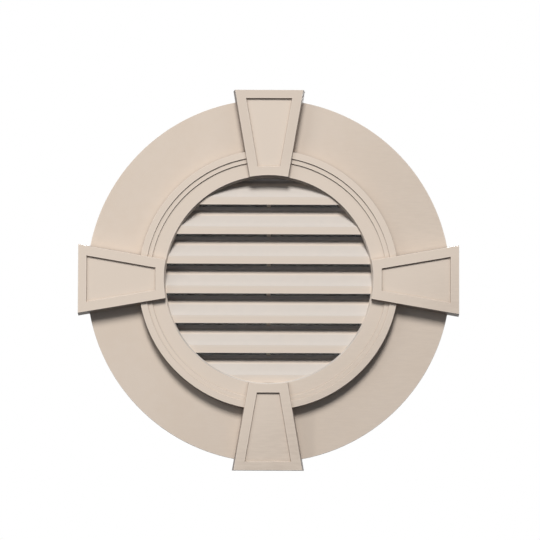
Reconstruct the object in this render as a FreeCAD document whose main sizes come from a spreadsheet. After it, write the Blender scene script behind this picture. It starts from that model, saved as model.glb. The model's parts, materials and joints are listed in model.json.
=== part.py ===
import FreeCAD, Part
import math
import os

import Sketcher

# Round louvred gable vent with four keystones, in millimetres.
# The wall plane is y = 0, the front faces -Y and +Z is up. The origin is the vent's centre on that plane.
# A level is a distance in front of the wall plane, so a point at level 10 lies at y = -10.

SIZES = [
    ("throat_radius", 204.8, "opening at the slats' noses"),
    ("throat_flare", 3, "how much wider the opening is in the ring's face"),
    ("face_band", 28.1, "trim ring's face, from the opening to the inner step"),
    ("middle_band", 9.5, "trim ring's band between its two steps"),
    ("outer_band", 13.1, "trim ring's front band"),
    ("ring_rise", 21, "trim ring's front band above the flange"),
    ("ring_flare", 1.5, "how much wider the ring is at the flange"),
    ("step_drop", 2.5, "height of each step"),
    ("step_flare", 0.8, "lean of each step"),
    ("flange_width", 103.5, "flat flange outside the trim ring"),
    ("flange_level", 6, "front of the flange"),
    ("shell_wall", 3, "wall of the moulding"),
    ("edge_bevel", 0.5, "bevel on the outer front edges"),
    ("keystone_count", 4, "keystones around the ring"),
    ("keystone_overhang", 16.6, "keystones outside the flange, at the wall"),
    ("keystone_rise", 6, "keystones' fronts above the ring's front band"),
    ("keystone_width", 136.2, "front of a keystone at its outer end"),
    ("keystone_taper", 0.172, "narrowing of each side per unit of length"),
    ("keystone_flare", 3.4, "how much further out its sides stand at the wall"),
    ("keystone_tip_flare", 0.6, "how much further out its end stands at the wall"),
    ("panel_border", 19, "raised border beside the sunk panel"),
    ("panel_tip_border", 16.4, "raised border at the keystone's outer end"),
    ("panel_root_border", 16.4, "raised border at the keystone's inner end"),
    ("panel_depth", 4, "depth of the sunk panel"),
    ("panel_flare", 1.5, "lean of the panel's sides"),
    ("louvre_setback", 5.5, "ring's face to the slats' noses"),
    ("slat_pitch", 59.1, "one slat to the next"),
    ("slat_nose", 15.3, "upright nose of a slat"),
    ("slat_run", 27, "how far a slat leans back behind its nose"),
    ("slat_wall", 3.2, "slat, measured from front to back"),
    ("slat_slit", 3, "straight gap below a nose, seen from the front"),
    ("bank_rise", 2.5, "middle of the slats above the vent's centre"),
    ("stiffener_width", 8, "upright stiffener behind the slats"),
    ("stiffener_lead", 1, "stiffener's front ahead of the slats' upper edges"),
    ("collar_end_gap", 12.3, "slats' backs to the collar's end"),
    ("pip_count", 8, "melted pips that hold the screen"),
    ("pip_radius", 2, "pip where it passes the screen"),
    ("pip_boss_radius", 5, "boss that carries a pip"),
    ("pip_boss_length", 12, "length of that boss"),
    ("pip_head_radius", 4, "melted head of a pip"),
    ("pip_head_height", 1.5, "height of that head"),
    ("pip_clearance", 0.3, "screen's hole around a pip"),
    ("screen_inset", 0.5, "screen's edge inside the collar's edge"),
    ("screen_rim", 16, "closed rim of the screen"),
    ("screen_thickness", 0.8, "thickness of the screen"),
    ("thread_width", 6, "band of the weave"),
    ("thread_pitch", 45, "one band of the weave to the next"),
    ("thread_ridge", 0.4, "height of the level bands over the upright ones"),
]

# Sizes that follow from those above, from the opening outwards and from the flange forwards.
FOLLOWING = [
    ("opening_radius", "throat_radius + throat_flare", "edge of the opening in the ring's face"),
    ("step_inner_radius", "opening_radius + face_band", "second step down towards the opening"),
    ("step_outer_radius", "step_inner_radius + middle_band", "first step down towards the opening"),
    ("ring_radius", "step_outer_radius + outer_band", "outer edge of the trim ring"),
    ("flange_radius", "ring_radius + flange_width", "outer edge of the flat flange"),
    ("keystone_span", "2 * (flange_radius + keystone_overhang)", "across opposite keystones, at the wall"),
    ("wall_tip", "keystone_span / 2", "keystone's outer end at the wall"),
    ("face_tip", "wall_tip - keystone_tip_flare", "keystone's outer end in its front"),
    ("keystone_root", "throat_radius - keystone_width / 8", "keystone's inner end, inside the throat's cut"),
    ("ring_level", "flange_level + ring_rise", "front of the trim ring's outer band"),
    ("ring_middle_level", "ring_level - step_drop", "trim ring's band between its two steps"),
    ("ring_face_level", "ring_middle_level - step_drop", "trim ring's face beside the opening"),
    ("keystone_level", "ring_level + keystone_rise", "front of the keystones"),
    ("clear_level", "keystone_level + shell_wall", "in front of the whole vent"),
    ("cavity_level", "keystone_level - shell_wall", "roof of the hollow in a keystone"),
    ("panel_level", "keystone_level - panel_depth", "floor of the sunk panel"),
    ("panel_inner_end", "opening_radius + panel_root_border", "panel's end towards the opening"),
    ("panel_outer_end", "face_tip - panel_tip_border", "panel's end towards the tip"),
    ("nose_level", "ring_face_level - louvre_setback", "front of the slats' noses"),
    ("slat_count", "ceil(2 * throat_radius / slat_pitch)", "louvre slats, as many as fill the opening"),
    ("bank_bottom", "bank_rise - slat_pitch * slat_count / 2", "lower edge of the lowest slat"),
    ("slat_end_radius", "throat_radius + shell_wall / 2", "slats' ends, inside the collar's wall"),
    ("collar_radius", "throat_radius + shell_wall", "outside of the collar"),
    ("collar_depth", "slat_run + slat_wall - nose_level + collar_end_gap", "collar behind the wall plane"),
    ("pip_circle", "slat_end_radius - pip_boss_radius", "circle that the pips stand on"),
    ("pip_turn", "180 / pip_count", "first pip's turn from upright, in degrees"),
    ("screen_radius", "collar_radius - screen_inset", "outer edge of the screen"),
    ("screen_inner_radius", "screen_radius - screen_rim", "inner edge of the screen's rim"),
    ("thread_count", "2 * floor(screen_inner_radius / thread_pitch) + 1", "bands of the weave each way"),
]

PIP_PLACE = ("size.pip_circle * sin(size.pip_turn)", "size.pip_circle * cos(size.pip_turn)")


def write_sheet(document):
    """Put every size in a sheet, one row each, first those to set and then those that follow."""
    sheet = document.addObject("Spreadsheet::Sheet", "size")
    rows = SIZES + [(alias, f"={formula}", meaning) for alias, formula, meaning in FOLLOWING]
    for row, (alias, value, meaning) in enumerate(rows, start=1):
        sheet.set(f"A{row}", meaning)
        sheet.set(f"B{row}", str(value))
        sheet.setAlias(f"B{row}", alias)
    document.recompute()
    return sheet


def origin_part(body, role):
    """Plane or axis of a body's own origin."""
    for feature in body.Origin.OriginFeatures:
        if feature.Role == role:
            return feature
    raise ValueError(f"{body.Name} has no {role}")


def new_sketch(body, name, plane, level="0"):
    """Empty sketch on one of the body's planes, moved along the plane's normal."""
    sketch = body.newObject("Sketcher::SketchObject", name)
    sketch.AttachmentSupport = [(origin_part(body, plane), "")]
    sketch.MapMode = "FlatFace"
    sketch.setExpression("AttachmentOffset.Base.z", level)
    return sketch


def pin_point(sketch, geometry, point, seed, place):
    """Hold a point of a sketch at a place that follows the sheet."""
    for kind, start, expression in zip(("DistanceX", "DistanceY"), (seed.x, seed.y), place):
        index = sketch.addConstraint(Sketcher.Constraint(kind, geometry, point, start))
        sketch.setExpression(f"Constraints[{index}]", expression)


def outline_sketch(body, name, plane, corners, level="0"):
    """Closed outline with straight sides through the given corners."""
    sketch = new_sketch(body, name, plane, level)
    count = len(corners)
    turns = [2 * math.pi * index / count for index in range(count)]
    seeds = [FreeCAD.Vector(math.cos(turn), math.sin(turn), 0) for turn in turns]
    for index in range(count):
        sketch.addGeometry(Part.LineSegment(seeds[index], seeds[(index + 1) % count]))
    for index in range(count):
        sketch.addConstraint(Sketcher.Constraint("Coincident", index, 2, (index + 1) % count, 1))
    for index, place in enumerate(corners):
        pin_point(sketch, index, 1, seeds[index], place)
    return sketch


def section_sketch(body, name, corners):
    """Section to turn about the vent's axis, with corners as radius and level."""
    places = [(radius, f"0 - {level}") for radius, level in corners]
    return outline_sketch(body, name, "XY_Plane", places)


def circle_sketch(body, name, level, radii, place=("0", "0")):
    """Circles about one centre, facing along the vent's axis."""
    sketch = new_sketch(body, name, "XZ_Plane", level)
    for index, radius in enumerate(radii):
        seed = FreeCAD.Vector(0, 0, 0)
        sketch.addGeometry(Part.Circle(seed, FreeCAD.Vector(0, 0, 1), 1 + index))
        pin_point(sketch, index, 3, seed, place)
        size = sketch.addConstraint(Sketcher.Constraint("Radius", index, 1 + index))
        sketch.setExpression(f"Constraints[{size}]", radius)
    return sketch


def keystone_outline(body, name, level, spread, inner_end, outer_end):
    """Upper keystone's outline, its sides moved out by spread from those of its front."""
    def half_width(radius):
        return f"(size.keystone_width / 2 - size.keystone_taper * (size.face_tip - {radius}) + {spread})"

    corners = [
        (f"0 - {half_width(outer_end)}", outer_end),
        (half_width(outer_end), outer_end),
        (half_width(inner_end), inner_end),
        (f"0 - {half_width(inner_end)}", inner_end),
    ]
    return outline_sketch(body, name, "XZ_Plane", corners, level)


def turned(body, kind, name, sketch):
    """Revolution or Groove of a section about the vent's axis."""
    feature = body.newObject(f"PartDesign::{kind}", name)
    feature.Profile = sketch
    feature.ReferenceAxis = (sketch, ["V_Axis"])
    feature.Angle = 360
    return feature


def extruded(body, kind, name, sketch, length, side="One side", backwards=False):
    """Pad or Pocket of a sketch."""
    feature = body.newObject(f"PartDesign::{kind}", name)
    feature.Profile = sketch
    feature.SideType = side
    feature.Reversed = backwards
    feature.setExpression("Length", length)
    return feature


def lofted(body, kind, name, sketches):
    """AdditiveLoft or SubtractiveLoft with flat sides through a row of sketches."""
    feature = body.newObject(f"PartDesign::{kind}", name)
    feature.Profile = sketches[0]
    feature.Sections = sketches[1:]
    feature.Ruled = True
    return feature


def around_axis(body, feature, count):
    """Copies of a feature, evenly around the vent's axis."""
    pattern = body.newObject("PartDesign::PolarPattern", f"{feature.Name}_copies")
    pattern.Originals = [feature]
    pattern.Axis = (origin_part(body, "Y_Axis"), [""])
    pattern.Angle = 360
    pattern.setExpression("Occurrences", count)
    body.Tip = pattern
    return pattern


def in_a_row(body, feature, axis, length, count):
    """Copies of a feature along an axis of the body, first to last over length."""
    pattern = body.newObject("PartDesign::LinearPattern", f"{feature.Name}_copies")
    pattern.Originals = [feature]
    pattern.Direction = (origin_part(body, axis), [""])
    pattern.setExpression("Length", length)
    pattern.setExpression("Occurrences", count)
    body.Tip = pattern
    return pattern


def add_ring(body):
    """Flange, stepped trim ring and collar as one solid turning."""
    section = [
        ("size.flange_radius", "0"),
        ("size.flange_radius", "(size.flange_level - size.edge_bevel)"),
        ("size.flange_radius - size.edge_bevel", "size.flange_level"),
        ("size.ring_radius + size.ring_flare", "size.flange_level"),
        ("size.ring_radius", "(size.ring_level - size.edge_bevel)"),
        ("size.ring_radius - size.edge_bevel", "size.ring_level"),
        ("size.step_outer_radius", "size.ring_level"),
        ("size.step_outer_radius - size.step_flare", "size.ring_middle_level"),
        ("size.step_inner_radius", "size.ring_middle_level"),
        ("size.step_inner_radius - size.step_flare", "size.ring_face_level"),
        ("0", "size.ring_face_level"),
        ("0", "(0 - size.collar_depth)"),
        ("size.collar_radius", "(0 - size.collar_depth)"),
        ("size.collar_radius", "0"),
    ]
    turned(body, "Revolution", "ring", section_sketch(body, "ring_section", section))


def add_keystones(body):
    """Tapered keystones on the ring, leaning in towards their bevelled fronts."""
    shoulder_level = "size.keystone_level - size.edge_bevel"
    bevel_spread = "(0 - size.edge_bevel)"
    bevelled_tip = "(size.face_tip - size.edge_bevel)"
    root = "size.keystone_root"
    sketches = [
        keystone_outline(body, "keystone_foot", "0", "size.keystone_flare", root, "size.wall_tip"),
        keystone_outline(body, "keystone_shoulder", shoulder_level, "0", root, "size.face_tip"),
        keystone_outline(body, "keystone_front", "size.keystone_level", bevel_spread, root, bevelled_tip),
    ]
    around_axis(body, lofted(body, "AdditiveLoft", "keystone", sketches), "size.keystone_count")


def cut_throat(body):
    """Opening between the keystones' inner ends, narrowing to the slats, and on through the collar."""
    section = [
        ("0", "size.clear_level"),
        ("size.opening_radius", "size.clear_level"),
        ("size.opening_radius", "size.ring_face_level"),
        ("size.throat_radius", "size.nose_level"),
        ("size.throat_radius", "(0 - size.collar_depth)"),
        ("0", "(0 - size.collar_depth)"),
    ]
    turned(body, "Groove", "throat", section_sketch(body, "throat_section", section))


def hollow_ring(body):
    """Hollow behind the flange and the trim ring, which leaves an even wall."""
    under_face = "(size.ring_face_level - size.shell_wall)"
    under_middle = "(size.ring_middle_level - size.shell_wall)"
    under_band = "(size.ring_level - size.shell_wall)"
    under_flange = "(size.flange_level - size.shell_wall)"
    section = [
        ("size.collar_radius", "0"),
        ("size.opening_radius + size.shell_wall", under_face),
        ("size.step_inner_radius + size.shell_wall", under_face),
        ("size.step_inner_radius + size.shell_wall", under_middle),
        ("size.step_outer_radius + size.shell_wall", under_middle),
        ("size.step_outer_radius + size.shell_wall", under_band),
        ("size.ring_radius - size.shell_wall", under_band),
        ("size.ring_radius + size.ring_flare - size.shell_wall", under_flange),
        ("size.flange_radius - size.shell_wall", under_flange),
        ("size.flange_radius - size.shell_wall", "0"),
    ]
    turned(body, "Groove", "ring_hollow", section_sketch(body, "hollow_section", section))


def hollow_keystones(body):
    """Hollow behind each keystone, with the sunk panel's wall standing in it."""
    foot_spread = "(size.keystone_flare - size.shell_wall)"
    roof_spread = "(size.keystone_flare * size.shell_wall / size.keystone_level - size.shell_wall)"
    foot_root = "(size.collar_radius + size.shell_wall)"
    roof_root = "(size.opening_radius + 2 * size.shell_wall)"
    foot_tip = "(size.wall_tip - size.shell_wall)"
    roof_tip = "(size.face_tip - size.shell_wall)"
    hollow = [
        keystone_outline(body, "hollow_foot", "0", foot_spread, foot_root, foot_tip),
        keystone_outline(body, "hollow_roof", "size.cavity_level", roof_spread, roof_root, roof_tip),
    ]
    around_axis(body, lofted(body, "SubtractiveLoft", "keystone_hollow", hollow), "size.keystone_count")
    backing = keystone_outline(
        body,
        "panel_backing_outline",
        "size.panel_level - size.shell_wall",
        "(size.shell_wall - size.panel_border)",
        "(size.panel_inner_end - size.shell_wall)",
        "(size.panel_outer_end + size.shell_wall)",
    )
    panel_backing = extruded(body, "Pad", "panel_backing", backing, "size.panel_depth")
    around_axis(body, panel_backing, "size.keystone_count")


def sink_panels(body):
    """Sunk panel in the front of each keystone."""
    floor_spread = "(0 - size.panel_border - size.panel_flare)"
    floor_root = "(size.panel_inner_end + size.panel_flare)"
    floor_tip = "(size.panel_outer_end - size.panel_flare)"
    panel = [
        keystone_outline(
            body,
            "panel_edge",
            "size.keystone_level",
            "(0 - size.panel_border)",
            "size.panel_inner_end",
            "size.panel_outer_end",
        ),
        keystone_outline(body, "panel_floor", "size.panel_level", floor_spread, floor_root, floor_tip),
    ]
    around_axis(body, lofted(body, "SubtractiveLoft", "panel", panel), "size.keystone_count")


def add_pips(body):
    """Bosses inside the collar, with pips that pass the screen and are melted over it."""
    back = "(0 - size.collar_depth)"
    screen_back = f"({back} - size.screen_thickness)"
    boss_circle = circle_sketch(body, "boss_circle", back, ["size.pip_boss_radius"], PIP_PLACE)
    boss = extruded(body, "Pad", "pip_boss", boss_circle, "size.pip_boss_length")
    around_axis(body, boss, "size.pip_count")
    shank_circle = circle_sketch(body, "shank_circle", back, ["size.pip_radius"], PIP_PLACE)
    shank = extruded(body, "Pad", "pip_shank", shank_circle, "size.screen_thickness", backwards=True)
    around_axis(body, shank, "size.pip_count")
    head_circle = circle_sketch(body, "head_circle", screen_back, ["size.pip_head_radius"], PIP_PLACE)
    head = extruded(body, "Pad", "pip_head", head_circle, "size.pip_head_height", backwards=True)
    around_axis(body, head, "size.pip_count")


def build_surround(document):
    """Hollow moulded surround: flange, trim ring, keystones, and collar with its pips."""
    body = document.addObject("PartDesign::Body", "surround")
    add_ring(body)
    add_keystones(body)
    cut_throat(body)
    hollow_ring(body)
    hollow_keystones(body)
    sink_panels(body)
    add_pips(body)
    return body


def add_slats(body):
    """Leaning slats with upright noses, one above the other."""
    front = "(0 - size.nose_level)"
    bottom = "size.bank_bottom"
    nose_top = f"{bottom} + size.slat_nose"
    blade_top = f"{bottom} + size.slat_pitch - size.slat_slit"
    section = [
        (front, bottom),
        (front, nose_top),
        (f"{front} + size.slat_run", blade_top),
        (f"{front} + size.slat_run + size.slat_wall", blade_top),
        (f"{front} + size.slat_wall", nose_top),
        (f"{front} + size.slat_wall", bottom),
    ]
    sketch = outline_sketch(body, "slat_section", "YZ_Plane", section)
    slat = extruded(body, "Pad", "slat", sketch, "2 * size.slat_end_radius", side="Symmetric")
    in_a_row(body, slat, "Z_Axis", "size.slat_pitch * (size.slat_count - 1)", "size.slat_count")


def add_stiffener(body):
    """Upright stiffener through the backs of the slats, flush with the collar's end."""
    front = "size.slat_run - size.nose_level - size.stiffener_lead"
    back = "size.collar_depth"
    section = [
        (front, "0 - size.slat_end_radius"),
        (back, "0 - size.slat_end_radius"),
        (back, "size.slat_end_radius"),
        (front, "size.slat_end_radius"),
    ]
    sketch = outline_sketch(body, "stiffener_section", "YZ_Plane", section)
    extruded(body, "Pad", "stiffener", sketch, "size.stiffener_width", side="Symmetric")


def trim_bank(body):
    """Round off the slats and the stiffener inside the collar's wall."""
    far = "2 * size.slat_end_radius"
    back = "(0 - size.collar_depth - size.shell_wall)"
    section = [
        ("size.slat_end_radius", "size.clear_level"),
        (far, "size.clear_level"),
        (far, back),
        ("size.slat_end_radius", back),
    ]
    turned(body, "Groove", "bank_trim", section_sketch(body, "bank_trim_section", section))


def build_louvre(document):
    """Slats and stiffener, which the same moulding holds inside its collar."""
    body = document.addObject("PartDesign::Body", "louvre")
    add_slats(body)
    add_stiffener(body)
    trim_bank(body)
    return body


def build_vent_face(document):
    """Whole moulding, from its surround and its louvre."""
    face = document.addObject("Part::Fuse", "vent_face")
    face.Base = build_surround(document)
    face.Tool = build_louvre(document)
    face.Label = "vent_face"
    return face


def add_weave(body):
    """Bands of the weave both ways, the level ones standing a ridge higher."""
    front = "(0 - size.collar_depth)"
    first = "(0 - size.thread_pitch * (size.thread_count - 1) / 2)"
    row = "size.thread_pitch * (size.thread_count - 1)"
    low = f"{first} - size.thread_width / 2"
    high = f"{first} + size.thread_width / 2"
    end = "size.screen_radius"
    upright = [(low, f"0 - {end}"), (high, f"0 - {end}"), (high, end), (low, end)]
    level = [(across, up) for up, across in upright]
    ridge_height = "size.screen_thickness + size.thread_ridge"
    for name, corners, thickness, axis in (
        ("upright_band", upright, "size.screen_thickness", "X_Axis"),
        ("level_band", level, ridge_height, "Z_Axis"),
    ):
        sketch = outline_sketch(body, f"{name}_outline", "XZ_Plane", corners, front)
        band = extruded(body, "Pad", name, sketch, thickness, backwards=True)
        in_a_row(body, band, axis, row, "size.thread_count")


def trim_weave(body):
    """Round off the bands at the inner edge of the screen's rim."""
    inner = "size.screen_inner_radius"
    far = "2 * size.screen_radius"
    front = "(size.shell_wall - size.collar_depth)"
    back = "(0 - size.collar_depth - size.screen_thickness - size.shell_wall)"
    section = [(inner, front), (far, front), (far, back), (inner, back)]
    turned(body, "Groove", "weave_trim", section_sketch(body, "weave_trim_section", section))


def build_screen(document):
    """Woven screen on the collar's back end, with holes for the pips in its rim."""
    body = document.addObject("PartDesign::Body", "insect_screen")
    add_weave(body)
    trim_weave(body)
    front = "(0 - size.collar_depth)"
    rim_radii = ["size.screen_radius", "size.screen_inner_radius"]
    rim_circles = circle_sketch(body, "rim_circles", front, rim_radii)
    extruded(body, "Pad", "rim", rim_circles, "size.screen_thickness", backwards=True)
    hole_radius = "size.pip_radius + size.pip_clearance"
    hole_circle = circle_sketch(body, "hole_circle", front, [hole_radius], PIP_PLACE)
    hole = extruded(body, "Pocket", "pip_hole", hole_circle, "size.screen_thickness")
    around_axis(body, hole, "size.pip_count")
    body.Label = "insect_screen"
    return body


def check_document(document, parts):
    """Stop if any feature failed or any sub-part isn't a sound solid."""
    for item in document.Objects:
        failed = [state for state in item.State if state in ("Invalid", "Error")]
        if failed:
            raise RuntimeError(f"{item.Name}: {failed} {item.getStatusString()}")
    for part in parts:
        shape = part.Shape
        if shape.isNull() or not shape.isValid():
            raise RuntimeError(f"{part.Label} has no valid shape")
        print(part.Label, len(shape.Solids), "solid", round(shape.Volume / 1000, 1), "cm3", shape.BoundBox)


def main():
    document = FreeCAD.newDocument("gable_vent")
    write_sheet(document)
    parts = [build_vent_face(document), build_screen(document)]
    document.recompute()
    check_document(document, parts)
    os.makedirs("parts", exist_ok=True)
    for part in parts:
        part.Shape.exportStep(f"parts/{part.Label}.step")


main()
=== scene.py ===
"""Dresses a round louvred gable vent in weathered sand plastic with painted shade and light, and sets
up its studio.
"""

from __future__ import annotations

import json
import logging
import math
from dataclasses import dataclass, field
from enum import Enum
from functools import reduce
from typing import Any

import bpy
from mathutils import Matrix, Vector

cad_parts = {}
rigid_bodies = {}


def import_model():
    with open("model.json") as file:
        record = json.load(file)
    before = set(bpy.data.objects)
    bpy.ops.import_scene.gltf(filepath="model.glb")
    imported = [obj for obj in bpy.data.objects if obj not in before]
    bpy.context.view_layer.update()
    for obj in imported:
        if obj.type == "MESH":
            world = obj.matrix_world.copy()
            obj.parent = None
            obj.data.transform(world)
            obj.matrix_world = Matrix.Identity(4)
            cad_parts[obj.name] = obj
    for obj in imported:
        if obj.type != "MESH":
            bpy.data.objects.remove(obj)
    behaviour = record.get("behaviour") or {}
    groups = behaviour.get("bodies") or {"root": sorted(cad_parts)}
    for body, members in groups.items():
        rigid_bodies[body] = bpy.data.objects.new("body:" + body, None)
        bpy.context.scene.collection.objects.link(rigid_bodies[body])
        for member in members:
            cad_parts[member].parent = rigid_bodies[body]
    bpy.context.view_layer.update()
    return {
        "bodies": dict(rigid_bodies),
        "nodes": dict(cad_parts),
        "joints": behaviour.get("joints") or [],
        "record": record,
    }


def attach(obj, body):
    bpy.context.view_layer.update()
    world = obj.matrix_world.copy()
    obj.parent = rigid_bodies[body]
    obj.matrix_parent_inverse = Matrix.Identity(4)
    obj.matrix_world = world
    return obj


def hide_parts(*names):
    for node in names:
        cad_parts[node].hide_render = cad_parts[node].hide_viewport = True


LOG = logging.getLogger("gable_vent")

Rgb = tuple[float, float, float]
Point = tuple[float, float, float]
Span = tuple[float, float]
Levels = tuple[float, float, float, float]
Socket = bpy.types.NodeSocket

WHITE: Rgb = (1.0, 1.0, 1.0)
RISING: Span = (0.0, 1.0)
FALLING: Span = (1.0, 0.0)
ACROSS_FACE: Point = (1.0, 0.0, 1.0)


class Piece(Enum):
    """Names of the vent's solids in the frame."""

    FACE = "vent_face"
    SCREEN = "insect_screen"


class Slot(Enum):
    """Names of the record's material slots."""

    PLASTIC = "sand_plastic"
    WEAVE = "screen_weave"


class LampRole(Enum):
    """What each lamp of the studio is there for."""

    KEY = "key_lamp"
    FILL = "left_fill_lamp"
    BACK = "back_lamp"
    LEFT = "left_side_lamp"
    RIGHT = "right_side_lamp"


class Ray(Enum):
    """Kinds of ray that see the studio bright."""

    CAMERA = "Is Camera Ray"
    GLOSSY = "Is Glossy Ray"
    TRANSMISSION = "Is Transmission Ray"


def rgba(colour: Any) -> Any:
    """Returns a colour with full opacity, and a socket as it is."""
    return colour if isinstance(colour, Socket) else (*colour, 1.0)


class Graph:
    """Adds and joins the nodes of one node tree."""

    def __init__(self, tree: bpy.types.NodeTree) -> None:
        """Keeps the tree and clears it."""
        self.tree = tree
        tree.nodes.clear()

    def add(self, kind: str, inputs: dict[Any, Any] | None = None, **settings: Any) -> bpy.types.Node:
        """Adds a node, sets its properties and feeds its sockets.

        Args:
            kind: Blender's name for the type of node.
            inputs: Values or output sockets, by the name or index of the input that takes them.
            settings: Properties of the node, such as its operation.

        Returns:
            The new node.
        """
        node = self.tree.nodes.new(kind)
        for name, value in settings.items():
            setattr(node, name, value)
        for name, value in (inputs or {}).items():
            if isinstance(value, Socket):
                self.tree.links.new(value, node.inputs[name])
            else:
                node.inputs[name].default_value = value
        return node

    def math(self, operation: str, first: Any, second: Any = 0.0) -> Socket:
        """Returns the result of a Math node on one or two values or sockets."""
        return self.add("ShaderNodeMath", {0: first, 1: second}, operation=operation).outputs[0]

    def product(self, *factors: Any) -> Socket:
        """Returns the product of the given values and sockets."""
        return reduce(lambda whole, factor: self.math("MULTIPLY", whole, factor), factors)

    def highest(self, *values: Any) -> Socket:
        """Returns the highest of the given values and sockets."""
        return reduce(lambda best, value: self.math("MAXIMUM", best, value), values)

    def inverse(self, mask: Socket) -> Socket:
        """Returns the mask of all that the given mask leaves out."""
        return self.math("SUBTRACT", 1.0, mask)

    def spread(self, value: Socket, limits: tuple[Any, Any], results: Span = RISING) -> Socket:
        """Maps the two limits onto the two results, with a soft start and end."""
        inputs = {0: value, 1: limits[0], 2: limits[1], 3: results[0], 4: results[1]}
        return self.add("ShaderNodeMapRange", inputs, interpolation_type="SMOOTHSTEP").outputs[0]

    def band(self, value: Socket, levels: Levels) -> Socket:
        """Returns the mask of a band with the levels where it starts, is full, thins out and ends."""
        start = self.spread(value, levels[:2])
        return self.product(start, self.spread(value, levels[2:], FALLING))

    def blend(self, factor: Socket, first: Any, second: Any) -> Socket:
        """Mixes two colours or sockets, with the factor as the share of the second."""
        inputs = {0: factor, 6: rgba(first), 7: rgba(second)}
        return self.add("ShaderNodeMix", inputs, data_type="RGBA").outputs[2]

    def noise(self, place: Socket, scale: Any, detail: float) -> Socket:
        """Returns a noise from 0 to 1 with so many spots per metre and so many finer layers."""
        inputs = {"Vector": place, "Scale": scale, "Detail": detail}
        return self.add("ShaderNodeTexNoise", inputs).outputs[0]

    def stretch(self, place: Socket, factors: Point) -> Socket:
        """Returns the coordinates, each multiplied by its own factor."""
        inputs = {0: place, 1: factors}
        return self.add("ShaderNodeVectorMath", inputs, operation="MULTIPLY").outputs[0]

    def along(self, vector: Socket, direction: Any) -> Socket:
        """Returns how far a vector reaches along a direction."""
        inputs = {0: vector, 1: direction}
        return self.add("ShaderNodeVectorMath", inputs, operation="DOT_PRODUCT").outputs["Value"]

    def radius(self, place: Socket) -> Socket:
        """Returns the distance from the vent's centre line."""
        flat = self.stretch(place, ACROSS_FACE)
        return self.add("ShaderNodeVectorMath", {0: flat}, operation="LENGTH").outputs["Value"]

    def split(self, vector: Socket) -> Any:
        """Returns the sockets of a vector's three parts: rightwards, into the wall and upwards."""
        return self.add("ShaderNodeSeparateXYZ", {0: vector}).outputs

    def facing(self) -> Any:
        """Returns the sockets of the three parts of the direction that the surface faces."""
        return self.split(self.add("ShaderNodeNewGeometry").outputs["Normal"])

    def seen_by(self, *rays: Ray) -> Socket:
        """Returns the mask of the given kinds of ray."""
        path = self.add("ShaderNodeLightPath").outputs
        return self.highest(*(path[ray.value] for ray in rays))

    def group(self, tree: bpy.types.NodeTree, place: Socket, numbers: dict[str, float]) -> Any:
        """Places a shared effect with the material's own numbers and returns its outputs."""
        return self.add("ShaderNodeGroup", {"Place": place, **numbers}, node_tree=tree).outputs

    def finish(self, inputs: dict[str, Any]) -> None:
        """Ends a material with a surface that takes the given inputs."""
        shader = self.add("ShaderNodeBsdfPrincipled", inputs)
        self.add("ShaderNodeOutputMaterial", {"Surface": shader.outputs[0]})


def open_material(name: str) -> tuple[bpy.types.Material, Graph]:
    """Makes a material without nodes.

    Args:
        name: Name of the material.

    Returns:
        The material and its graph.
    """
    material = bpy.data.materials.new(name)
    material.use_nodes = True
    return material, Graph(material.node_tree)


def open_group(
    name: str, numbers: dict[str, float], outputs: list[str]
) -> tuple[bpy.types.NodeTree, Graph, Any]:
    """Makes a node group with a place socket, number sockets and value outputs.

    Args:
        name: Name of the group.
        numbers: Named number inputs with their usual values.
        outputs: Names of the values that the group puts out.

    Returns:
        The group, its graph and the sockets of what comes in.
    """
    tree = bpy.data.node_groups.new(name, "ShaderNodeTree")
    tree.interface.new_socket("Place", in_out="INPUT", socket_type="NodeSocketVector")
    for label, value in numbers.items():
        socket = tree.interface.new_socket(label, in_out="INPUT", socket_type="NodeSocketFloat")
        socket.default_value = value
    for label in outputs:
        tree.interface.new_socket(label, in_out="OUTPUT", socket_type="NodeSocketFloat")
    graph = Graph(tree)
    return tree, graph, graph.add("NodeGroupInput").outputs


@dataclass(frozen=True)
class WeatheredMottle:
    """Slow change of tone that sun and rain leave."""

    spots_per_metre: float = 9.0
    wide_detail: float = 3.0
    wide_share: float = 0.65
    fine_scale: float = 9.0
    fine_detail: float = 2.0
    fine_share: float = 0.35
    tone_limits: Span = (0.36, 0.64)

    def build(self) -> bpy.types.NodeTree:
        """Builds the group, which puts out a tone from 0 to 1.

        Returns:
            The node group.
        """
        numbers = {"Spots per Metre": self.spots_per_metre}
        tree, graph, start = open_group("weathered_mottle", numbers, ["Tone"])
        place = start["Place"]
        spots = start["Spots per Metre"]
        wide = graph.noise(place, spots, self.wide_detail)
        fine = graph.noise(place, graph.product(spots, self.fine_scale), self.fine_detail)
        shares = [graph.product(wide, self.wide_share), graph.product(fine, self.fine_share)]
        both = graph.math("ADD", shares[0], shares[1])
        graph.add("NodeGroupOutput", {"Tone": graph.spread(both, self.tone_limits)})
        return tree


@dataclass(frozen=True)
class MouldedGrain:
    """Fine stipple that the mould leaves."""

    grains_per_metre: float = 700.0
    speckle_detail: float = 2.0
    cell_share: float = 0.7
    sheen_limits: Span = (0.3, 0.7)

    def build(self) -> bpy.types.NodeTree:
        """Builds the group, which puts out the grain's height and a sheen from 0 to 1.

        Returns:
            The node group.
        """
        numbers = {"Grains per Metre": self.grains_per_metre}
        tree, graph, start = open_group("moulded_grain", numbers, ["Height", "Sheen"])
        place = start["Place"]
        grains = start["Grains per Metre"]
        pattern = {"Vector": place, "Scale": grains}
        cells = graph.add("ShaderNodeTexVoronoi", pattern, feature="SMOOTH_F1").outputs["Distance"]
        speckle = graph.noise(place, grains, self.speckle_detail)
        height = graph.math("ADD", graph.product(cells, self.cell_share), speckle)
        sheen = graph.spread(speckle, self.sheen_limits)
        graph.add("NodeGroupOutput", {"Height": height, "Sheen": sheen})
        return tree


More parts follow.
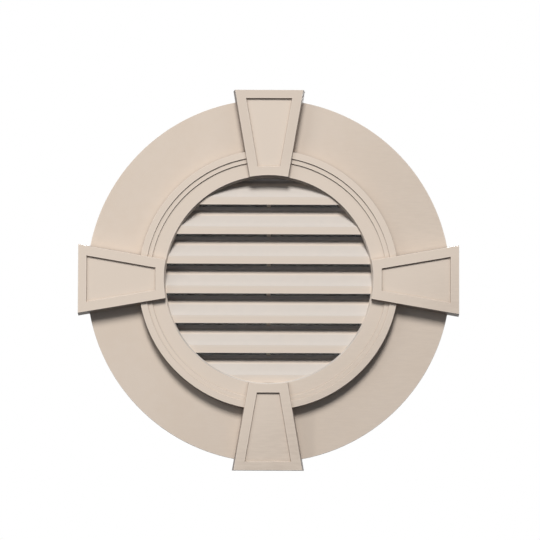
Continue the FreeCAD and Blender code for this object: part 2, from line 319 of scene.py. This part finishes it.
@dataclass(frozen=True)
class SettledDust:
    """Film of dust that settles on slopes, as far out from the centre line as it reaches."""

    least_rise: float = 0.2
    full_rise: float = 0.6
    reach: float = 0.2
    breaks_per_metre: float = 55.0
    break_detail: float = 4.0
    break_limits: Span = (0.25, 0.75)
    break_shares: Span = (0.9, 1.0)

    def build(self) -> bpy.types.NodeTree:
        """Builds the group, which puts out the mask of the film.

        Returns:
            The node group.
        """
        numbers = {
            "Least Rise": self.least_rise,
            "Full Rise": self.full_rise,
            "Reach": self.reach,
            "Breaks per Metre": self.breaks_per_metre,
        }
        tree, graph, start = open_group("settled_dust", numbers, ["Film"])
        place = start["Place"]
        sloped = graph.spread(graph.facing()[2], (start["Least Rise"], start["Full Rise"]))
        within = graph.math("LESS_THAN", graph.radius(place), start["Reach"])
        breaks = graph.noise(place, start["Breaks per Metre"], self.break_detail)
        broken = graph.spread(breaks, self.break_limits, self.break_shares)
        graph.add("NodeGroupOutput", {"Film": graph.product(sloped, broken, within)})
        return tree


class Effects:
    """The shader node groups that the finishes place, each built once."""

    def __init__(self) -> None:
        """Builds the groups."""
        self.mottle = WeatheredMottle().build()
        self.grain = MouldedGrain().build()
        self.dust = SettledDust().build()


@dataclass(frozen=True)
class Spot:
    """What the weathering and painted shade take from each spot of the moulding, as sockets.

    Attributes:
        graph: Graph of the plastic.
        place: Coordinates.
        axes: The three coordinates: rightwards, into the wall and upwards.
        radius: Distance from the vent's centre line.
        outside: Mask of what lies outside the opening.
        inside: Mask of what lies inside the opening.
        proud: Mask of what stands in front of the flange.
        flush: Mask of what stands no further out than the flange.
        openness: From 0 in a tight corner to 1 in the open.
        tone: Slow change of tone, from 0 to 1.
        film: Mask of the dust on slopes.
        on_face: Mask of the slats' leaning faces.
        on_nose: Mask of all else inside the opening, above all the slats' noses.
    """

    graph: Graph
    place: Socket
    axes: Any
    radius: Socket
    outside: Socket
    inside: Socket
    proud: Socket
    flush: Socket
    openness: Socket
    tone: Socket
    film: Socket
    on_face: Socket
    on_nose: Socket


@dataclass(frozen=True)
class ToneAndPaintedShade:
    """The plastic's own tone, paler where it stands proud, with painted shade towards the lower right
    and around two keystones.
    """

    body: Rgb = (0.66, 0.55, 0.45)
    faded: Rgb = (0.672, 0.566, 0.47)
    # Paler colour of what stands proud of the flange.
    proud_colour: Rgb = (0.7, 0.592, 0.493)
    # Painted shade colour, used towards the lower right, around the top keystone and right of the
    # lowest keystone.
    painted_shade_colour: Rgb = (0.58, 0.485, 0.4)
    flush_shade_share: float = 0.42
    flush_shade_way: Point = (0.9, 0.0, -0.44)
    flush_shade_reach: Span = (-0.15, 0.2)
    proud_shade_share: float = 0.7
    proud_shade_way: Point = (0.62, 0.0, -0.78)
    proud_shade_reach: Span = (0.13, 0.32)
    streak_stretch: Point = (1.0, 1.0, 7.0)
    streaks_per_metre: float = 45.0
    streak_detail: float = 3.0
    streak_limits: Span = (0.3, 0.7)
    streak_shares: Span = (0.7, 1.3)
    # Painted shade around the top keystone.
    top_shade_share: float = 0.4
    top_shade_widths: Span = (0.06, 0.13)
    top_shade_heights: Span = (0.19, 0.26)
    border_depths: Span = (-0.0325, -0.031)
    flange_depths: Span = (-0.026, -0.02)
    # Painted soft shadow on the flange right of the lowest keystone.
    keystone_shadow_share: float = 0.95
    keystone_shadow_band: Levels = (0.0, 0.02, 0.085, 0.108)
    keystone_shadow_heights: Span = (-0.24, -0.27)

    def tint(self, spot: Spot) -> Socket:
        """Gives the plastic its tone and paints shade on part of it.

        Args:
            spot: What is known of each spot.

        Returns:
            The colour's socket.
        """
        graph = spot.graph
        tone = graph.blend(spot.tone, self.body, self.faded)
        proud_toned = graph.blend(spot.proud, tone, self.proud_colour)
        # Painted shade outside the opening: towards the lower right, around the top keystone and right
        # of the lowest keystone.
        shaded = graph.highest(self.lower_right_shade_mask(spot), self.top_shade_mask(spot), self.keystone_shadow_mask(spot))
        return graph.blend(graph.product(shaded, spot.outside), proud_toned, self.painted_shade_colour)

    def lower_right_shade_mask(self, spot: Spot) -> Socket:
        """Finds where to paint shade: darker towards the lower right, in streaks.

        Args:
            spot: What is known of each spot.

        Returns:
            The mask's socket.
        """
        graph = spot.graph
        flush_way = graph.along(spot.place, self.flush_shade_way)
        flush = graph.spread(flush_way, self.flush_shade_reach, (0.0, self.flush_shade_share))
        proud_way = graph.along(spot.place, self.proud_shade_way)
        proud = graph.spread(proud_way, self.proud_shade_reach, (0.0, self.proud_shade_share))
        side = graph.add("ShaderNodeMix", {0: spot.proud, 2: flush, 3: proud}).outputs[0]
        drawn = graph.stretch(spot.place, self.streak_stretch)
        noise = graph.noise(drawn, self.streaks_per_metre, self.streak_detail)
        return graph.product(side, graph.spread(noise, self.streak_limits, self.streak_shares))

    def top_shade_mask(self, spot: Spot) -> Socket:
        """Finds the top keystone's border and the flange around it, to paint shade on.

        Args:
            spot: What is known of each spot.

        Returns:
            The mask's socket.
        """
        graph = spot.graph
        near = graph.spread(graph.math("ABSOLUTE", spot.axes[0]), self.top_shade_widths, FALLING)
        high = graph.spread(spot.axes[2], self.top_shade_heights, (0.0, self.top_shade_share))
        border = graph.spread(spot.axes[1], self.border_depths, FALLING)
        flange = graph.spread(spot.axes[1], self.flange_depths)
        return graph.product(near, high, graph.highest(border, flange))

    def keystone_shadow_mask(self, spot: Spot) -> Socket:
        """Finds the flange to the right of the lowest keystone, to paint a soft shadow on.

        Args:
            spot: What is known of each spot.

        Returns:
            The mask's socket.
        """
        graph = spot.graph
        beside = graph.band(spot.axes[0], self.keystone_shadow_band)
        low = graph.spread(spot.axes[2], self.keystone_shadow_heights, (0.0, self.keystone_shadow_share))
        return graph.product(beside, low, spot.flush)


@dataclass(frozen=True)
class PaleNose:
    """Paler upper part of each slat's nose."""

    colour: Rgb = (0.695, 0.602, 0.515)
    slat_pitch: float = 0.0591
    slat_start: float = -0.20435
    nose_height: float = 0.0153
    pale_start: float = 0.4

    def cover(self, spot: Spot, colour: Socket) -> Socket:
        """Makes the noses paler.

        Args:
            spot: What is known of each spot.
            colour: Socket of the colour so far.

        Returns:
            The new colour's socket.
        """
        graph = spot.graph
        lifted = graph.math("SUBTRACT", spot.axes[2], self.slat_start)
        above = graph.math("MODULO", lifted, self.slat_pitch)
        upper = graph.spread(above, (self.pale_start * self.nose_height, self.nose_height))
        return graph.blend(graph.product(spot.on_nose, upper), colour, self.colour)


@dataclass(frozen=True)
class EdgeWearAndHighlight:
    """Edges that water runs off, paler: partly wear and partly painted highlight."""

    # Colour of worn edges, which also stands for a painted highlight.
    colour: Rgb = (0.8, 0.71, 0.62)
    share: float = 0.6
    radius: float = 0.004
    samples: int = 6
    turn_limits: Span = (0.995, 0.9)
    rise_limits: Span = (0.1, 0.35)
    open_limits: Span = (0.7, 0.9)
    tone_shares: Span = (0.6, 1.0)

    def cover(self, spot: Spot, colour: Socket) -> Socket:
        """Makes the open edges paler, in patches, as wear and painted highlight.

        Args:
            spot: What is known of each spot.
            colour: Socket of the colour so far.

        Returns:
            The new colour's socket.
        """
        graph = spot.graph
        rounded = graph.add("ShaderNodeBevel", {"Radius": self.radius}, samples=self.samples).outputs[0]
        sharp = graph.add("ShaderNodeNewGeometry").outputs["Normal"]
        edge = graph.spread(graph.along(rounded, sharp), self.turn_limits, (0.0, self.share))
        not_upwards = graph.spread(graph.split(rounded)[2], self.rise_limits, FALLING)
        in_open = graph.spread(spot.openness, self.open_limits)
        patchy = graph.spread(spot.tone, RISING, self.tone_shares)
        return graph.blend(graph.product(edge, not_upwards, in_open, patchy), colour, self.colour)


@dataclass(frozen=True)
class SlatDustAndPaintedLight:
    """Grey dust on slopes, and on each slat's face a painted highlight under the nose's shadow, painted
    light within it and a painted dark edge to it.
    """

    colour: Rgb = (0.39, 0.39, 0.385)
    share_inside: float = 0.5
    share_outside: float = 0.25
    # Painted highlight: the film thins in a band just below each nose's shadow.
    painted_highlight_share: float = 0.8
    painted_highlight_depths: Levels = (-0.003, -0.0005, 0.0015, 0.003)
    low_nose_share: float = 0.08
    low_nose_heights: Span = (-0.178, -0.188)
    # Painted light: a pale patch that lifts the shade under each slat's nose.
    painted_light_colour: Rgb = (0.88, 0.84, 0.81)
    painted_light_depths: Span = (0.0045, 0.0075)
    # Painted shadow edge: a dark band where each nose's shadow ends on the slat below.
    shadow_edge_colour: Rgb = (0.145, 0.12, 0.108)
    shadow_edge_share: float = 0.2
    shadow_edge_depths: Levels = (0.0015, 0.003, 0.004, 0.0055)

    def cover(self, spot: Spot, colour: Socket) -> Socket:
        """Lays the film, then paints light within each nose's shadow and darkens that shadow's edge.

        Args:
            spot: What is known of each spot.
            colour: Socket of the colour so far.

        Returns:
            The new colour's socket.
        """
        graph = spot.graph
        depth = spot.axes[1]
        dusty = graph.blend(self.film_mask(spot), colour, self.colour)
        painted_light = graph.product(spot.on_face, graph.spread(depth, self.painted_light_depths))
        lit_in_shade = graph.blend(painted_light, dusty, self.painted_light_colour)
        shadow_edge = graph.product(graph.band(depth, self.shadow_edge_depths), spot.on_face, self.shadow_edge_share)
        return graph.blend(shadow_edge, lit_in_shade, self.shadow_edge_colour)

    def film_mask(self, spot: Spot) -> Socket:
        """Finds the dust on slopes, thinned where the highlight is painted, and the trace of it on the
        lowest slat's nose.

        Args:
            spot: What is known of each spot.

        Returns:
            The mask's socket.
        """
        graph = spot.graph
        settled = graph.spread(spot.outside, RISING, (self.share_inside, self.share_outside))
        painted_highlight = graph.product(graph.band(spot.axes[1], self.painted_highlight_depths), spot.inside)
        kept = graph.spread(painted_highlight, RISING, (1.0, 1.0 - self.painted_highlight_share))
        low = graph.spread(spot.axes[2], self.low_nose_heights, (0.0, self.low_nose_share))
        return graph.highest(graph.product(spot.film, settled, kept), graph.product(spot.on_nose, low))


@dataclass(frozen=True)
class CornerPaintedShade:
    """Painted shade at the foot of the ring and the keystones, and a browner painted shade in the
    corners upon them.
    """

    # Painted shade at the foot of the ring and the keystones.
    colour: Rgb = (0.3, 0.25, 0.21)
    share: float = 0.6
    limits: Span = (0.2, 1.0)
    # Brown tint of painted shade in the corners of the panels and ring steps.
    shade_tint: Rgb = (0.33, 0.263, 0.212)
    shade_tint_share: float = 0.36
    shade_tint_limits: Span = (0.6, 0.95)

    def cover(self, spot: Spot, colour: Socket) -> Socket:
        """Paints shade in the corners.

        Args:
            spot: What is known of each spot.
            colour: Socket of the colour so far.

        Returns:
            The new colour's socket.
        """
        graph = spot.graph
        corner = graph.spread(spot.openness, self.limits, (self.share, 0.0))
        corner_shaded = graph.blend(graph.product(corner, spot.outside, spot.flush), colour, self.colour)
        tinted = graph.spread(spot.openness, self.shade_tint_limits, (self.shade_tint_share, 0.0))
        return graph.blend(graph.product(tinted, spot.proud, spot.outside), corner_shaded, self.shade_tint)


@dataclass(frozen=True)
class UndersideAndWallShade:
    """Painted shade on undersides and steep walls, browner in recesses."""

    # Painted shade colour for undersides, steep walls and keystone tips.
    colour: Rgb = (0.145, 0.12, 0.108)
    recess_shade_colour: Rgb = (0.165, 0.09, 0.056)
    recess_limits: Span = (0.6, 0.95)
    back_limits: Span = (0.1, 0.3)
    under_share: float = 0.85
    under_limits: Span = (-0.3, -0.75)
    slat_share: float = 0.4
    slat_depths: Span = (-0.0172, -0.0165)
    steep_limits: Span = (-0.3, -0.15)
    side_share: float = 0.6
    upward_limits: Span = (0.0, 0.3)
    foot_depths: Span = (-0.024, -0.018)
    end_widths: Span = (0.37, 0.376)
    tip_share: float = 0.88
    tip_radii: Span = (0.3, 0.375)
    tip_heights: Span = (0.2, 0.3)
    end_limits: Span = (0.8, 0.95)

    def cover(self, spot: Spot, colour: Socket) -> Socket:
        """Paints shade on what doesn't face the wall, browner in recesses.

        Args:
            spot: What is known of each spot.
            colour: Socket of the colour so far.

        Returns:
            The new colour's socket.
        """
        graph = spot.graph
        facing = graph.facing()
        steep = graph.spread(facing[1], self.steep_limits)
        under_and_wall_shade = graph.highest(
            self.under_mask(spot, facing[2]),
            graph.product(steep, self.side_mask(spot, facing[2])),
            graph.product(steep, self.tip_mask(spot, facing[2])),
        )
        in_front = graph.spread(facing[1], self.back_limits, FALLING)
        recessed = graph.product(spot.outside, graph.spread(spot.openness, self.recess_limits, FALLING))
        shade_tint = graph.blend(recessed, self.colour, self.recess_shade_colour)
        return graph.blend(graph.product(under_and_wall_shade, in_front), colour, shade_tint)

    def under_mask(self, spot: Spot, rise: Socket) -> Socket:
        """Finds the undersides, those of the slats with a smaller share.

        Args:
            spot: What is known of each spot.
            rise: Socket of how far the surface faces upwards.

        Returns:
            The mask's socket.
        """
        graph = spot.graph
        before_slats = graph.spread(spot.axes[1], self.slat_depths, (1.0, self.slat_share))
        under = graph.spread(rise, self.under_limits, (0.0, self.under_share))
        return graph.product(under, graph.highest(spot.outside, before_slats))

    def side_mask(self, spot: Spot, rise: Socket) -> Socket:
        """Finds the steep walls to paint shade on: at their feet and where they don't face upwards.

        Args:
            spot: What is known of each spot.
            rise: Socket of how far the surface faces upwards.

        Returns:
            The mask's socket, which leaves out the outer ends of the side keystones.
        """
        graph = spot.graph
        foot = graph.product(spot.outside, graph.spread(spot.axes[1], self.foot_depths))
        in_shade = graph.highest(foot, graph.spread(rise, self.upward_limits, FALLING))
        sideways = graph.math("ABSOLUTE", spot.axes[0])
        return graph.product(in_shade, graph.spread(sideways, self.end_widths, (self.side_share, 0.0)))

    def tip_mask(self, spot: Spot, rise: Socket) -> Socket:
        """Finds the outer parts of the top and the lowest keystone.

        Args:
            spot: What is known of each spot.
            rise: Socket of how far the surface faces upwards.

        Returns:
            The mask's socket, which leaves out the keystone's end that faces upwards.
        """
        graph = spot.graph
        outer = graph.spread(spot.radius, self.tip_radii, (0.0, self.tip_share))
        upright = graph.spread(graph.math("ABSOLUTE", spot.axes[2]), self.tip_heights)
        return graph.product(outer, upright, graph.spread(rise, self.end_limits, FALLING))


@dataclass(frozen=True)
class SandPlastic:
    """Moulded matte plastic, sand coloured through, a little weathered, with painted shade and light.
    """

    # Tone, with painted shade on the flange, ring and keystones.
    tone_and_shade: ToneAndPaintedShade = ToneAndPaintedShade()
    nose: PaleNose = PaleNose()
    wear_and_highlight: EdgeWearAndHighlight = EdgeWearAndHighlight()
    # Dust, with painted light, a painted highlight and a painted shadow edge on the slats.
    dust: SlatDustAndPaintedLight = SlatDustAndPaintedLight()
    # Painted shade in corners.
    corner_shade: CornerPaintedShade = CornerPaintedShade()
    # Painted shade on undersides and steep walls.
    under_and_wall_shade: UndersideAndWallShade = UndersideAndWallShade()
    opening_radius: float = 0.2078
    proud_depths: Span = (-0.014, -0.009)
    corner_reach: float = 0.009
    corner_samples: int = 8
    least_rise: float = 0.25
    full_rise: float = 0.5
    dust_reach: float = 1.0
    spots_per_metre: float = 7.0
    grains_per_metre: float = 650.0
    grain_height: float = 0.00025
    grain_strength: float = 0.12
    roughness: Span = (0.5, 0.6)
    specular: float = 0.3

    def build(self, effects: Effects) -> bpy.types.Material:
        """Builds the plastic's material.

        Args:
            effects: The shared node groups.

        Returns:
            The material.
        """
        material, graph = open_material(Slot.PLASTIC.value)
        place = graph.add("ShaderNodeTexCoord").outputs["Object"]
        spot = self.survey(graph, place, effects)
        colour = self.tone_and_shade.tint(spot)
        for layer in (self.nose, self.wear_and_highlight, self.dust, self.corner_shade, self.under_and_wall_shade):
            colour = layer.cover(spot, colour)
        grain = graph.group(effects.grain, place, {"Grains per Metre": self.grains_per_metre})
        stipple = {
            "Height": grain["Height"],
            "Strength": self.grain_strength,
            "Distance": self.grain_height,
        }
        graph.finish(
            {
                "Base Color": colour,
                "Roughness": graph.spread(grain["Sheen"], RISING, self.roughness),
                "Normal": graph.add("ShaderNodeBump", stipple).outputs[0],
                "Specular IOR Level": self.specular,
            }
        )
        return material

    def survey(self, graph: Graph, place: Socket, effects: Effects) -> Spot:
        """Finds out where each spot lies and what has reached it.

        Args:
            graph: Graph of the material.
            place: Socket of the coordinates.
            effects: The shared node groups.

        Returns:
            What the weathering and painted shade take from each spot.
        """
        mottle = graph.group(effects.mottle, place, {"Spots per Metre": self.spots_per_metre})
        rises = {"Least Rise": self.least_rise, "Full Rise": self.full_rise, "Reach": self.dust_reach}
        film = graph.group(effects.dust, place, rises)["Film"]
        reach = {"Distance": self.corner_reach}
        corners = graph.add("ShaderNodeAmbientOcclusion", reach, samples=self.corner_samples)
        axes = graph.split(place)
        proud = graph.spread(axes[1], self.proud_depths, FALLING)
        radius = graph.radius(place)
        outside = graph.math("GREATER_THAN", radius, self.opening_radius)
        inside = graph.inverse(outside)
        on_face = graph.product(film, inside)
        return Spot(
            graph=graph,
            place=place,
            axes=axes,
            radius=radius,
            outside=outside,
            inside=inside,
            proud=proud,
            flush=graph.inverse(proud),
            openness=corners.outputs["AO"],
            tone=mottle["Tone"],
            film=film,
            on_face=on_face,
            on_nose=graph.math("SUBTRACT", inside, on_face),
        )


@dataclass(frozen=True)
class ScreenWeave:
    """Dark coated glass-fibre threads in a plain weave, with painted shade where they dip, dusty where
    they rise.
    """

    thread: Rgb = (0.12, 0.108, 0.1)
    # Painted shade where the threads dip under one another.
    hollow_shade: Rgb = (0.085, 0.076, 0.07)
    faded: Rgb = (0.135, 0.122, 0.113)
    dust: Rgb = (0.16, 0.15, 0.14)
    least_rise: float = -0.1
    full_rise: float = 0.9
    spots_per_metre: float = 30.0
    pitch: float = 0.0009
    crossing_limits: Span = (-0.4, 0.4)
    crossing_heights: Span = (0.55, 1.0)
    hollow_shade_heights: Span = (0.15, 0.6)
    pinhole: float = 0.41
    pinhole_edge: float = 0.05
    thread_height: float = 0.0003
    thread_strength: float = 0.8
    roughness: float = 0.62
    specular: float = 0.25

    def build(self, effects: Effects) -> bpy.types.Material:
        """Builds the screen's material.

        Args:
            effects: The shared node groups.

        Returns:
            The material.
        """
        material, graph = open_material(Slot.WEAVE.value)
        place = graph.add("ShaderNodeTexCoord").outputs["Object"]
        height, threads = self.weave(graph, place)
        mottle = graph.group(effects.mottle, place, {"Spots per Metre": self.spots_per_metre})
        rises = {"Least Rise": self.least_rise, "Full Rise": self.full_rise}
        film = graph.group(effects.dust, place, rises)["Film"]
        tone = graph.blend(mottle["Tone"], self.thread, self.faded)
        woven = graph.blend(graph.spread(height, self.hollow_shade_heights), self.hollow_shade, tone)
        relief = {"Height": height, "Strength": self.thread_strength, "Distance": self.thread_height}
        graph.finish(
            {
                "Base Color": graph.blend(film, woven, self.dust),
                "Roughness": self.roughness,
                "Normal": graph.add("ShaderNodeBump", relief).outputs[0],
                "Specular IOR Level": self.specular,
                "Alpha": threads,
            }
        )
        return material

    def weave(self, graph: Graph, place: Socket) -> tuple[Socket, Socket]:
        """Raises the threads over and under one another and leaves pinholes between them.

        Args:
            graph: Graph of the material.
            place: Socket of the coordinates.

        Returns:
            The sockets of the height, 0 between threads and 1 at their tops, and of the threads' mask.
        """
        axes = graph.split(place)
        turns = [graph.product(axes[index], math.pi / self.pitch) for index in (0, 2)]
        upright, level = [graph.math("ABSOLUTE", graph.math("SINE", turn)) for turn in turns]
        waves = [graph.math("COSINE", turn) for turn in turns]
        over = graph.spread(graph.product(*waves), self.crossing_limits, self.crossing_heights)
        under = graph.math("SUBTRACT", sum(self.crossing_heights), over)
        height = graph.highest(graph.product(upright, over), graph.product(level, under))
        edge = (self.pinhole - self.pinhole_edge, self.pinhole)
        return height, graph.spread(graph.highest(upright, level), edge)


@dataclass
class LouvreFace:
    """The one-piece moulding of flange, ring, keystones, slats and collar."""

    finish: SandPlastic = field(default_factory=SandPlastic)

    def dress(self, frame: dict[str, Any], effects: Effects) -> None:
        """Gives the moulding its weathered plastic, with painted shade and light.

        Args:
            effects: The shared node groups.
        """
        moulding = frame["nodes"][Piece.FACE.value]
        material = self.finish.build(effects)
        for slot in moulding.material_slots:
            slot.material = material
        LOG.info("%s dressed in %s", moulding.name, material.name)


@dataclass
class InsectScreen:
    """The woven disc that is melted onto the back of the collar."""

    radius: float = 0.2073
    front: float = 0.026
    thickness: float = 0.0008
    rim: float = 0.016
    ridge: float = 0.0004
    slope: float = 0.0015
    sides: int = 160
    edge_round: float = 0.0002
    edge_steps: int = 2
    edge_angle: float = math.radians(60)
    smooth_angle: float = math.radians(30)
    finish: ScreenWeave = field(default_factory=ScreenWeave)

    def build(self) -> bpy.types.Object:
        """Models the disc with its pressed rim and its thicker woven field.

        Returns:
            The screen, at the origin, with its place in its mesh.
        """
        bpy.ops.object.select_all(action="DESELECT")
        bpy.ops.mesh.primitive_circle_add(
            vertices=self.sides,
            radius=self.radius,
            fill_type="NGON",
            location=(0.0, self.front, 0.0),
            rotation=(-math.pi / 2, 0.0, 0.0),
        )
        screen = bpy.context.object
        screen.name = "woven_screen"
        bpy.ops.object.transform_apply(location=True, rotation=True, scale=True)
        bpy.ops.object.mode_set(mode="EDIT")
        bpy.ops.mesh.select_all(action="SELECT")
        bpy.ops.mesh.extrude_region_move(TRANSFORM_OT_translate={"value": (0.0, self.thickness, 0.0)})
        bpy.ops.mesh.inset(thickness=self.rim)
        bpy.ops.mesh.inset(thickness=self.slope, depth=self.ridge)
        bpy.ops.mesh.select_all(action="SELECT")
        bpy.ops.mesh.normals_make_consistent(inside=False)
        bpy.ops.object.mode_set(mode="OBJECT")
        self.round_edges(screen)
        return screen

    def round_edges(self, screen: bpy.types.Object) -> None:
        """Rounds the cut edge of the disc.

        Args:
            screen: The screen's object.
        """
        bevel = screen.modifiers.new("cut_edge", "BEVEL")
        bevel.width = self.edge_round
        bevel.segments = self.edge_steps
        bevel.limit_method = "ANGLE"
        bevel.angle_limit = self.edge_angle
        bpy.ops.object.modifier_apply(modifier=bevel.name)
        bpy.ops.object.shade_smooth_by_angle(angle=self.smooth_angle)

    def dress(self, screen: bpy.types.Object, effects: Effects) -> None:
        """Gives the screen its weave and ties it to the frame.

        Args:
            screen: The screen's object.
            effects: The shared node groups.
        """
        screen.data.materials.append(self.finish.build(effects))
        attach(screen, "root")
        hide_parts(Piece.SCREEN.value)
        LOG.info("%s stands for %s", screen.name, Piece.SCREEN.value)


@dataclass(frozen=True)
class Lamp:
    """One round soft lamp that faces the vent."""

    role: LampRole
    place: Point
    width: float
    watts: float

    def build(self) -> None:
        """Hangs the lamp and turns it to the vent."""
        bpy.ops.object.select_all(action="DESELECT")
        bpy.ops.object.light_add(type="AREA", location=self.place)
        lamp = bpy.context.object
        lamp.name = self.role.value
        lamp.rotation_euler = (-Vector(self.place)).to_track_quat("-Z", "Y").to_euler()
        lamp.data.shape = "DISK"
        lamp.data.size = self.width
        lamp.data.energy = self.watts
        lamp.visible_camera = False
        LOG.info("%s at %.1f W", lamp.name, self.watts)


@dataclass
class Studio:
    """White surroundings, a pale floor far below, and soft lamps."""

    ambient: float = 0.1
    ambient_colour: Rgb = (0.82, 0.95, 1.15)
    floor_level: float = -4.5
    floor_width: float = 9.0
    floor_colour: Rgb = (0.82, 0.82, 0.82)
    floor_bounce: Rgb = (0.06, 0.06, 0.06)
    floor_glow: float = 0.45
    lamps: tuple[Lamp, ...] = (
        Lamp(LampRole.KEY, place=(-0.45, -10.17, 9.62), width=5.2, watts=2165.0),
        Lamp(LampRole.FILL, place=(-2.3, -1.9, 1.1), width=1.6, watts=13.0),
        Lamp(LampRole.BACK, place=(0.3, 4.0, 0.9), width=2.0, watts=105.0),
        Lamp(LampRole.LEFT, place=(-4.0, 0.75, 0.5), width=0.8, watts=30.0),
        Lamp(LampRole.RIGHT, place=(4.0, 0.75, 0.5), width=0.8, watts=30.0),
    )

    def build(self) -> None:
        """Builds the surroundings, the floor and the lamps."""
        self.build_surroundings()
        self.build_floor()
        for lamp in self.lamps:
            lamp.build()

    def build_surroundings(self) -> None:
        """Makes the world white to look at and dim as a source of light."""
        world = bpy.data.worlds.new("white_studio")
        world.use_nodes = True
        graph = Graph(world.node_tree)
        seen = graph.seen_by(Ray.CAMERA, Ray.GLOSSY, Ray.TRANSMISSION)
        sky = {"Color": rgba(self.ambient_colour), "Strength": self.ambient}
        dim = graph.add("ShaderNodeBackground", sky)
        bright = graph.add("ShaderNodeBackground", {"Color": rgba(WHITE), "Strength": 1.0})
        mixed = graph.add("ShaderNodeMixShader", {0: seen, 1: dim.outputs[0], 2: bright.outputs[0]})
        graph.add("ShaderNodeOutputWorld", {"Surface": mixed.outputs[0]})
        bpy.context.scene.world = world

    def build_floor(self) -> None:
        """Lays the pale floor, which looks nearly white and keeps shadows."""
        bpy.ops.object.select_all(action="DESELECT")
        bpy.ops.mesh.primitive_plane_add(size=self.floor_width, location=(0.0, 0.0, self.floor_level))
        floor = bpy.context.object
        floor.name = "studio_floor"
        material, graph = open_material("pale_floor")
        seen = graph.seen_by(Ray.CAMERA, Ray.GLOSSY)
        matte = graph.add("ShaderNodeBsdfDiffuse", {"Color": rgba(self.floor_colour)})
        shine = graph.add("ShaderNodeEmission", {"Color": rgba(WHITE), "Strength": self.floor_glow})
        pale = graph.add("ShaderNodeAddShader", {0: matte.outputs[0], 1: shine.outputs[0]})
        dim = graph.add("ShaderNodeBsdfDiffuse", {"Color": rgba(self.floor_bounce)})
        both = graph.add("ShaderNodeMixShader", {0: seen, 1: dim.outputs[0], 2: pale.outputs[0]})
        graph.add("ShaderNodeOutputMaterial", {"Surface": both.outputs[0]})
        floor.data.materials.append(material)


@dataclass
class StudioCamera:
    """A long lens in front of the vent and a little below it, looking up."""

    distance: float = 6.0
    frame_width: float = 1.0757
    target: Point = (0.0042, -0.006, 0.0203)
    rise: float = math.radians(3.7)
    roll: float = math.radians(-0.21)
    sensor: float = 36.0

    def build(self) -> None:
        """Sets up the camera for the square frame."""
        bpy.ops.object.select_all(action="DESELECT")
        sight = Vector((0.0, math.cos(self.rise), math.sin(self.rise)))
        bpy.ops.object.camera_add(
            location=Vector(self.target) - self.distance * sight,
            rotation=(math.pi / 2 + self.rise, self.roll, 0.0),
        )
        camera = bpy.context.object
        camera.name = "front_camera"
        camera.data.sensor_width = self.sensor
        camera.data.lens = self.sensor * self.distance / self.frame_width
        bpy.context.scene.camera = camera
        LOG.info("camera lens %.1f mm", camera.data.lens)


def main() -> None:
    """Builds the dressed vent and its studio."""
    logging.basicConfig(level=logging.INFO, format="%(name)s: %(message)s")
    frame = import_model()
    bpy.context.scene.view_settings.view_transform = "Standard"
    StudioCamera().build()
    Studio().build()
    effects = Effects()
    LouvreFace().dress(frame, effects)
    insect_screen = InsectScreen()
    insect_screen.dress(insect_screen.build(), effects)


if __name__ == "__main__":
    main()
